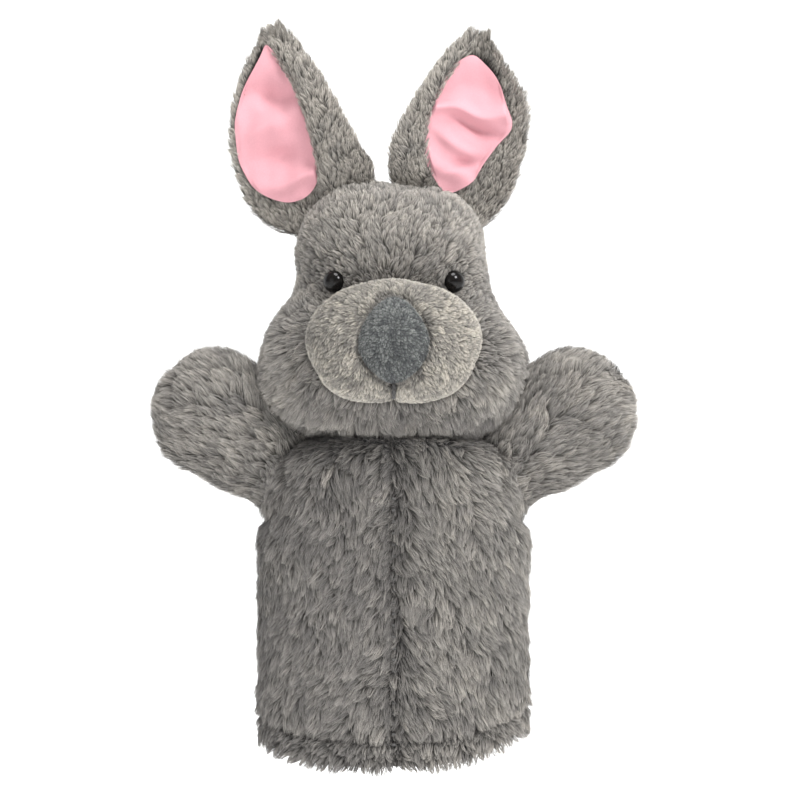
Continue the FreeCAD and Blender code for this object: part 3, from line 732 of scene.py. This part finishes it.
def nose():
    """A padded nose of short fuzzy cloth, whose edge is sewn down into the muzzle."""
    rows, columns = 46, 120
    share = np.linspace(0.002, 1.0, rows)[:, None]
    angle = full_turn(columns)[None, :]
    spread = np.sin(share * np.pi / 2)
    up = np.sin(angle) * spread
    x = np.cos(angle) * spread * narrowing(np.sin(angle)) * NOSE_HALF[0]
    z = NOSE_MIDDLE[2] + up * NOSE_HALF[2]
    rise = np.cos(share * np.pi / 2) ** 0.8
    points = np.stack([x, muzzle_front(x, z) + 1.8 - rise * NOSE_HALF[1], z], -1)
    skin = facing(points, FORWARD)
    skin.points = points + skin.normals * (ripple(points, 9, 9) * 0.12)[..., None]
    away = unit(points - (NOSE_MIDDLE + (0, -12, 6)))
    skin.comb = away - 0.3 * UP
    skin.length[:] = 1.4
    # Painted light and shade: the nose is made lighter towards its top and the puppet's right, as light
    # falls on it, and darker below and in a band round its edge, where shade falls
    skin.painted_light_and_tone = 0.22 * up - 0.12 * x / NOSE_HALF[0] - 0.35 * smooth(share + 0 * up, 0.86, 1.0)
    made = skin.show("nose_pad", "nose")
    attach(made, "head")
    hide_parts("nose_cover")
    filling("nose_filling", skin.part(slice(0, rows - 8)), 1.0, "head", "nose_wadding")
    fuzz = pile("nose_pad_fuzz", skin, "nose_fuzz", 12.0, width=0.19, rise=50, droop=0,
                tuft=1.0, lock=2.6, pull=0.7, lock_pull=0.3, wander=30, uneven=2.6, seed=81)
    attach(fuzz, "head")


MOUTH_TOP, MOUTH_LONG = 173.4, 8.2


def mouth():
    """One upright stitch in the muzzle's cleft, of two threads twisted together."""
    run = np.linspace(0, 1, 60)[:, None]
    angle = full_turn(16)[None, :]
    z = MOUTH_TOP - MOUTH_LONG * run
    y = muzzle_front(0 * z, z) + 0.7 - 0.9 * np.sin(np.pi * run) ** 0.5
    radius = 0.85 * np.sin(np.pi * np.clip(run, 0.02, 0.98)) ** 0.35
    radius = radius * (1 + 0.28 * np.cos(2 * angle - run * 22))
    points = np.stack([radius * np.cos(angle), y + radius * np.sin(angle), z + 0 * angle], -1)
    skin = facing(points, points - points.mean(1, keepdims=True))
    made = skin.show("mouth_thread", "mouth")
    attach(made, "head")
    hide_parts("mouth_stitch")


def filling(name, skin, depth, body, node):
    """Loose stuffing just inside a skin, which closes round it."""
    rows, columns = skin.points.shape[:2]
    some = (slice(None, None, max(1, rows // 40)), slice(None, None, max(1, columns // 60)))
    points = (skin.points - skin.normals * depth)[some]
    points = points + 0.4 * ripple(points, 8, 17)[..., None] * skin.normals[some]
    made = Skin(points, outward=skin.outward).show(name, "stuffing")
    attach(made, body)
    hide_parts(node)


EYE_APART, EYE_HEIGHT = 26.6, 218.0
EYE_YAW = math.radians(38)  # each eye looks this far out to its own side
EYE_DOME = 4.2


def eyes():
    """Glossy domes where the CAD eyes are, smooth enough for a close look."""
    for side, sign in SIDES.items():
        low, high = cad(f"{side}_eye")
        radius = (high[2] - low[2]) / 2 - 0.7
        yaw = EYE_YAW * sign
        look = np.array([math.sin(yaw), -math.cos(yaw), 0])
        across = np.array([math.cos(yaw), math.sin(yaw), 0])
        middle = np.array([sign * EYE_APART, low[1] + EYE_DOME * math.cos(yaw) + 1.8, EYE_HEIGHT])
        angle = full_turn(72)[None, :, None]
        polar = np.linspace(0, 1, 26)[:, None, None] * np.radians(104)
        out = np.sin(polar) * radius
        forward = np.cos(polar) * EYE_DOME
        points = middle + out * (np.cos(angle) * across + np.sin(angle) * UP) + forward * look
        made = facing(points, look).show(f"eye_dome_{side}", "eye")
        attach(made, "head")
        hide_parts(f"{side}_eye")


# Ears. Each has a plane of its own: w outward from its root, u along it and y back through it.
# Stations up the ear give how far its edges lie to the inner and outer side of the root line, and
# the same for the pink cloth, whose inner edge is tucked under the folded inner side

EARS = {
    "left": {
        "root": (23, 3, 260), "lean": 12, "face": 0.10,
        "inner": ((-14, 8), (-6, 19), (0, 25), (12, 27), (24, 24.5), (34, 21), (47, 16.5),
                  (60, 10.5), (66, 7), (70, 3)),
        "outer": ((-14, 18), (-4, 26), (7, 29), (30, 29.5), (44, 27), (52, 21), (60, 13),
                  (66, 8), (70, 3)),
        "pink_in": ((-1, 3), (4, 5), (12, 11), (30, 14.5), (46, 11.5), (54, 8.5), (60, 5), (63, 2)),
        "pink_out": ((-1, 6), (5, 12.5), (12, 13), (24, 18), (34, 24.5), (44, 18), (53, 14),
                     (60, 8), (63, 3)),
        "pink": (-1, 62), "flap": 4.5, "flat": (0.042, 0.066),
    },
    "right": {
        "root": (29, 3, 256), "lean": 19, "face": 0.22,
        "inner": ((-12, 4), (-2, 20), (7, 22), (18, 19), (34, 16.5), (54, 12.5), (68, 8),
                  (75, 6), (79, 3)),
        "outer": ((-12, 16), (-3, 29), (8, 34.5), (25, 35), (42, 31.5), (52, 27), (68, 15),
                  (75, 7), (79, 3)),
        "pink_in": ((4, -3), (20, 0.5), (36, 2.0), (52, 2.5), (62, 0.5), (69, -2), (75, -4.5)),
        "pink_out": ((4, 25), (15, 31), (30, 33), (47, 29), (60, 20.5), (70, 10.5), (75, 6)),
        "pink": (4, 75), "flap": 6.5, "flat": (0.036, 0.075),
    },
}


def outline(side, name, u):
    """How far out one of an ear's edges lies at places up the ear, smoothed between its stations."""
    places, sizes = zip(*EARS[side][name])
    steps = np.linspace(-4, 4, 9)
    return np.mean([np.interp(u + step, places, sizes) for step in steps], 0)


def ear_place(w, y, u, side):
    """A place in an ear's own plane, moved to the part's frame."""
    ear_set = EARS[side]
    lean, sign = math.radians(ear_set["lean"]), SIDES[side]
    x, back, z = ear_set["root"]
    return np.stack([sign * (x + w * math.cos(lean) + u * math.sin(lean)), back + y + 0 * w,
                     z - w * math.sin(lean) + u * math.cos(lean)], -1)


def ear_depth(share, u, w, side):
    """How far back the ear's middle layer lies: a cup whose sides come forward."""
    cup = 7.5 * smooth(u, -10, 18) * (1 - 0.55 * smooth(u, 45, 75))
    return EARS[side]["face"] * w - cup * share**2 + 2.5 * (u / 70) ** 2


def ear_share(w, inner, outer):
    """-1 at the ear's inner edge and 1 at its outer edge."""
    return 2 * (w + inner) / np.maximum(inner + outer, 1) - 1


def ear(side):
    """An ear's backing and pile, whose inner side is folded forward over the pink cloth."""

    def follow(made):
        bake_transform(made)

    rows, columns = 76, 52
    top = EARS[side]["inner"][-1][0]
    u = np.linspace(-14, top + 1.5, rows)[:, None] * np.ones((1, columns))
    share = np.sin(np.linspace(-1, 1, columns) * np.pi / 2)[None, :] * np.ones((rows, 1))
    inner, outer = outline(side, "inner", u), outline(side, "outer", u)
    w = -inner + (inner + outer) * (share + 1) / 2
    y = ear_depth(share, u, w, side)
    tucked = ear_share(-outline(side, "pink_in", u), inner, outer)
    fold = np.clip((share + 1) / np.maximum(tucked + 1, 0.1), 0, 2)
    fold = (1 - (1 - np.minimum(fold, 1)) ** 2) * (1 - smooth(fold, 0.9, 1.05))
    fold = fold * EARS[side]["flap"] * smooth(u, -12, 6) * (1 - 0.6 * smooth(u, top - 20, top))
    back = ear_place(w, y + 2.3 * half_round(share) + 0.2, u, side)
    front = ear_place(w, y - 0.1 - fold, u, side)
    loop = np.concatenate([back, front[:, ::-1]], 1)
    skin = facing(loop, loop - loop.mean(1, keepdims=True))
    share, u, w = (np.concatenate([field, field[:, ::-1]], 1) for field in (share, u, w))
    on_front = np.arange(2 * columns) >= columns
    root = ear_place(0.0, 0.0, 0.0, side)
    up = unit(ear_place(0.0, 0.0, 9.0, side) - root)
    out = unit(ear_place(9.0, 0.0, 0.0, side) - root)
    skin.comb = up + out * (0.55 * share * np.abs(share))[..., None]
    skin.length[:] = 6.6 - 1.4 * on_front
    # Painted light: the ear's pile is made much lighter all over, standing in for the light from above
    # that falls on the ears
    skin.painted_light_and_tone[:] = 0.46
    skin.density = 1 - on_front * smooth(0.9 - pink_share(u, w, side), -0.05, 0.1)
    made = skin.show(f"ear_backing_{side}", "backing")
    follow(made)
    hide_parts(f"{side}_ear_back")
    fur = pile(f"ear_pile_{side}", skin, "pile", 4.6, width=0.29, rise=38, droop=0.05,
               tuft=1.45, lock=4.6, pull=0.68, lock_pull=0.46, wander=18, seed=90 + SIDES[side])
    follow(fur)
    pink = ear_lining(side)
    follow(pink)
    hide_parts(f"{side}_ear_lining")


def pink_share(u, w, side):
    """1 at the edge of the pink cloth, less inside it."""
    low, high = EARS[side]["pink"]
    near, far = -outline(side, "pink_in", u), outline(side, "pink_out", u)
    across = np.abs(w - (near + far) / 2) / np.maximum((far - near) / 2, 0.5)
    along = np.abs(u - (low + high) / 2) / ((high - low) / 2)
    return np.maximum(across, along**3)


def ear_lining(side):
    """Pink cloth laid in the cup, with soft wrinkles."""
    ear_set = EARS[side]
    low, high = ear_set["pink"]
    rows, columns = 130, 90
    u = (low + (high - low) * (0.5 - 0.5 * np.cos(np.linspace(0, 1, rows) * np.pi)))[:, None]
    u = u * np.ones((1, columns))
    ends = half_round((2 * (u - low) / (high - low) - 1) ** 3)
    near, far = -outline(side, "pink_in", u) - 2.2, outline(side, "pink_out", u) + 0.4
    middle, half = (near + far) / 2, (far - near) / 2 * (0.03 + 0.97 * ends)
    w = middle + half * np.linspace(-1, 1, columns)[None, :]
    inner, outer = outline(side, "inner", u), outline(side, "outer", u)
    share = np.clip(ear_share(w, inner, outer), -0.99, 0.99)
    y = ear_depth(share, u, w, side) - 1.0 - 4.0 * half_round(share)
    flat = np.stack([w, 0 * w, u], -1)

    def ridge(u_at, slope, width, w_at=0.0, reach=60.0):
        """A raised, uneven crease across the cloth, at a slope, that dies away along its length."""
        off = u - u_at - slope * (w - w_at) - 1.4 * ripple(flat, 18, 36)
        return hump(off, width) * hump(w - w_at, reach)

    if side == "left":
        crease = (2.1 * ridge(36, 0.06, 2.8) - 2.4 * ridge(30, -0.15, 3.0, 8, 14)
                  + 1.6 * ridge(21, -0.5, 3.4, 0, 10) - 1.5 * ridge(46, 0.05, 6.0, 0, 14)
                  + 1.5 * ridge(9, -0.3, 3.2, -2, 10) - 1.7 * ridge(14, 0.4, 3.2, 8, 10))
    else:
        crease = (2.0 * ridge(40, -0.25, 4.6, 14, 13) - 2.5 * ridge(53, 0.4, 5.5, 12, 12)
                  - 2.2 * ridge(25, 0.2, 5.0, 16, 10) + 1.8 * ridge(13, 0.1, 4.0, 14, 14))
    crease = crease + 0.35 * ripple(flat, 12, 32 + SIDES[side])
    y = y - 1.7 * crease * (1 - smooth(pink_share(u, w, side), 0.88, 1.0))
    skin = facing(ear_place(w, y, u, side), FORWARD, closed=False)
    made = skin.show(f"ear_lining_{side}", "pink")
    min(skin.area() * 1e-6 / 1.03, math.prod(ear_set["flat"]))
    return made


# Arms: rings along a straight centre line, out of the armhole

SHOULDER = np.array([51.0, 0, 132.0])
ARM_RISE = math.radians(40)
ARM_AXIS = np.array([math.cos(ARM_RISE), 0, math.sin(ARM_RISE)])
ARM_FROM = -6.0  # the centre line starts this far inward of the shoulder point
PAW_AT, PAW_LONG, PAW_HALF, PAW_THICK = 40.0, 24.5, 24.8, 15.0


def arm_grid(rows=96, columns=80):
    """The left arm's rings, and how far each one is along the arm's axis from the shoulder point."""
    share = np.linspace(0, 1, rows)
    length = PAW_AT + PAW_LONG - ARM_FROM
    along = ARM_FROM + np.minimum(length * np.sin(share * np.pi / 2) ** 1.15, length - 0.02)
    tip = half_round(np.clip(along - PAW_AT, 0, None) / PAW_LONG)
    wide = (18.0 + (PAW_HALF - 18.0) * smooth(along, -2, 36)) * tip
    thick = (15.5 + (PAW_THICK - 15.5) * smooth(along, 10, 38)) * tip**0.9
    angle = full_turn(columns)[None, :, None]
    over = np.array([-math.sin(ARM_RISE), 0, math.cos(ARM_RISE)])
    across = wide[:, None, None] * np.cos(angle) * over
    deep = thick[:, None, None] * np.sin(angle) * -FORWARD
    points = SHOULDER + along[:, None, None] * ARM_AXIS + over * 3.0 + across + deep
    return points, along


def inside_sleeve(points):
    """Which places are within the sleeve's outline."""
    half_width, half_depth = sleeve_size(points[..., 2])
    x = np.abs(points[..., 0]) / half_width
    y = np.abs(points[..., 1]) / half_depth
    return x**2.5 + y**2.5 < 1


def arm(side):
    """An arm in three parts: its root in the armhole, a middle part and the paw."""
    points, along = arm_grid()
    reach = np.linspace(-20, 16, 200)
    ring = points[0][:, None] + reach[None, :, None] * ARM_AXIS
    crossing = reach[np.argmax(~inside_sleeve(ring), 1)] - 1.2
    ease = smooth(10 - along, 0, 16)
    points = points + (crossing[None, :, None] * ease[:, None, None]) * ARM_AXIS
    points = points + Skin(points).normals * (ripple(points, 30, 15) * 0.8)[..., None]
    points = mirrored(points, side)
    axis = mirrored(ARM_AXIS, side)
    middle = points.mean(1, keepdims=True)
    skin = facing(points, points - middle)
    skin.comb = unit(np.gradient(middle, axis=0)) + 0.35 * unit(points - middle)
    skin.length[:] = 10.0 * (0.75 + 0.25 * smooth(along, -2, 14))[:, None]
    shoulder = mirrored(SHOULDER, side)
    spot = ((points - shoulder) @ axis).mean(1)
    first, second = (int(np.argmax(spot > place)) for place in (4, 18))
    armhole, paw = f"armhole_{side}", f"arm_{side}"
    parts = (
        ("root", 0, first + 1, ("sleeve", armhole), -8, 4),
        ("middle", first, second + 1, (armhole, paw), 4, 18),
        ("paw", second, None, None, 0, 0),
    )
    for index, (label, start, end, pair, low, high) in enumerate(parts):
        piece = skin.part(slice(start, end))
        backing = piece.show(f"arm_{label}_backing_{side}", "backing")
        fur = pile(f"arm_{label}_pile_{side}", piece, "pile", 4.0, width=0.27, rise=42,
                   droop=0.10, tuft=1.55, lock=5.0, pull=0.78, seed=110 + 10 * index + SIDES[side])
        for made in (backing, fur):
            if pair:
                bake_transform(made)
            else:
                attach(made, paw)
        if label == "paw":
            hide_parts(f"arm_front_{side}", f"arm_back_{side}")
            filling(f"paw_filling_{side}", piece, 3.0, paw, f"paw_wadding_{side}")
        if label == "middle":
            thread = seam_ring(f"armhole_seam_{side}", piece.points[0], 0.45)
            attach(thread, armhole)
            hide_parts(f"armhole_binding_{side}")


def seam_ring(name, path, radius):
    """A closed ring of twisted thread along a row of points."""
    count, turns = len(path), 40
    fine = np.linspace(0, count, count * 6, endpoint=False)
    low = np.floor(fine).astype(int) % count
    share = (fine - np.floor(fine))[:, None]
    line = path[low] * (1 - share) + path[(low + 1) % count] * share
    run = unit(np.roll(line, -1, 0) - np.roll(line, 1, 0))
    out = unit(line - line.mean(0))
    out = unit(out - run * (out * run).sum(-1, keepdims=True))
    side = np.cross(run, out)
    phase = np.linspace(0, 2 * np.pi * turns, len(line), endpoint=False)
    angle = full_turn(8)[None, :, None]
    swell = radius * (1 + 0.35 * np.cos(2 * (angle - phase[:, None, None])))
    points = line[:, None] + swell * (np.cos(angle) * out[:, None] + np.sin(angle) * side[:, None])
    points = np.concatenate([points, points[:1]], 0)
    return Skin(points).show(name, "thread")


def neck():
    """Three short bands, one across each of the head's joints."""
    angle = full_turn(96)[None, :]
    low, middle, high, top = NECK_Z - 11, SLEEVE_TOP, NECK_Z, NECK_Z + 9
    bands = (
        ("low", low, middle, ("sleeve", "neck_ring"), low + 2, middle),
        ("middle", middle, high, ("neck_ring", "neck_lining"), middle, high),
        ("high", high, top, ("neck_lining", "head"), high, top - 3),
    )
    for index, (label, bottom, upper, pair, start, end) in enumerate(bands):
        z = np.linspace(bottom, upper, 12)[:, None] + 0 * angle
        radius = NECK_RADIUS - 1.0 - 2.0 * hump(z - NECK_Z, 6)
        points = np.stack([radius * np.cos(angle), radius * np.sin(angle), z], -1)
        skin = facing(points, points * (1, 1, 0))
        skin.length[:] = 5.5
        skin.comb[:] = (0, 0, -1)
        skin.comb[..., :2] = points[..., :2] / NECK_RADIUS
        for made in (
            skin.show(f"neck_backing_{label}", "backing"),
            pile(f"neck_pile_{label}", skin, "pile", 1.6, droop=0.1, seed=150 + index),
        ):
            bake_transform(made)


def drawn_up(node, look):
    """A copy of a CAD piece near the hem, drawn up with the sleeve's lower edge."""
    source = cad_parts[node]
    points = np.array([source.matrix_world @ corner.co for corner in source.data.vertices]) / MM
    points[:, 2] += hem_rise(points[:, 0], points[:, 2])
    faces = [list(face.vertices) for face in source.data.polygons]
    made = new_object(f"{node}_drawn", points, faces, look)
    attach(made, "sleeve")
    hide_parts(node)


def thread_and_trim():
    """Seams and label near the hem are drawn up, and other CAD pieces only get their look."""
    for node in ("centre_front_seam", "side_seam_left", "side_seam_right", "hem_seam"):
        drawn_up(node, "thread")
    drawn_up("care_label", "tape")
    looks = {
        "thread": ("neck_seam", "ear_tack_left", "ear_tack_right"),
        "lining": ("neck_cuff", "finger_tube", "arm_pocket_left", "arm_pocket_right"),
        "washer": ("left_eye_washer", "right_eye_washer"),
    }
    for look, nodes in looks.items():
        for node in nodes:
            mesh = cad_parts[node].data
            mesh.materials.clear()
            mesh.materials.append(LOOKS[look])


# Camera, light and floor


def camera():
    """A long lens, level with the puppet's middle and straight in front of it."""
    lens = bpy.data.cameras.new("camera")
    lens.lens, lens.sensor_width = 150, 36
    made = linked("camera", lens)
    target = Vector((2.7, 0, 165.6)) * MM
    seen_width = 0.360
    made.location = target + Vector(FORWARD) * (seen_width * lens.lens / lens.sensor_width)
    made.rotation_euler = (target - made.location).to_track_quat("-Z", "Y").to_euler()
    bpy.context.scene.camera = made


def area_light(name, place, target, size, power):
    light = bpy.data.lights.new(name, "AREA")
    light.shape, light.size, light.energy = "DISK", size, power
    made = linked(name, light)
    made.location = place
    made.rotation_euler = (Vector(target) - Vector(place)).to_track_quat("-Z", "Y").to_euler()


def lights():
    middle = (0, 0, 0.17)
    area_light("key", (0.75, -0.85, 1.05), middle, 0.5, 17)
    area_light("fill", (-0.9, -1.1, 0.4), middle, 0.9, 2.0)
    area_light("top", (0.1, -0.35, 1.35), (0, 0, 0.22), 0.7, 13)
    world = bpy.data.worlds.new("studio")
    world.use_nodes = True
    background = world.node_tree.nodes["Background"]
    background.inputs["Color"].default_value = (1, 1, 1, 1)
    background.inputs["Strength"].default_value = 0.32
    bpy.context.scene.world = world
    bpy.context.scene.view_settings.view_transform = "Standard"


def floor():
    """A wide pale sheet that curves up behind the puppet, in metres. It lies a little below its hem."""
    sweep = bpy.data.meshes.new("floor")
    half_width, front, back, level, bend_radius, height = 30.0, -40.0, 0.5, -0.06, 2.6, 8.0
    profile = [(front, level)]
    for step in range(25):
        angle = math.radians(90 * step / 24)
        profile.append((back + bend_radius * math.sin(angle), level + bend_radius * (1 - math.cos(angle))))
    profile.append((back + bend_radius, height))
    points = [(x, y, z) for y, z in profile for x in (-half_width, half_width)]
    faces = [(2 * i, 2 * i + 1, 2 * i + 3, 2 * i + 2) for i in range(len(profile) - 1)]
    sweep.from_pydata(points, [], faces)
    sweep.shade_smooth()
    paper = material("floor_paper", 0.9, Emission_Color=(1, 1, 1, 1), Emission_Strength=0.6)
    stops = ((0.3, (0.93, 0.93, 0.93)), (0.7, (0.95, 0.95, 0.95)))
    sweep.materials.append(mottled(*paper, stops, 3))
    made = linked("floor", sweep)


camera()
lights()
floor()
sleeve()
lining()
head()
muzzle()
nose()
mouth()
eyes()
for which in SIDES:
    ear(which)
    arm(which)
neck()
thread_and_trim()
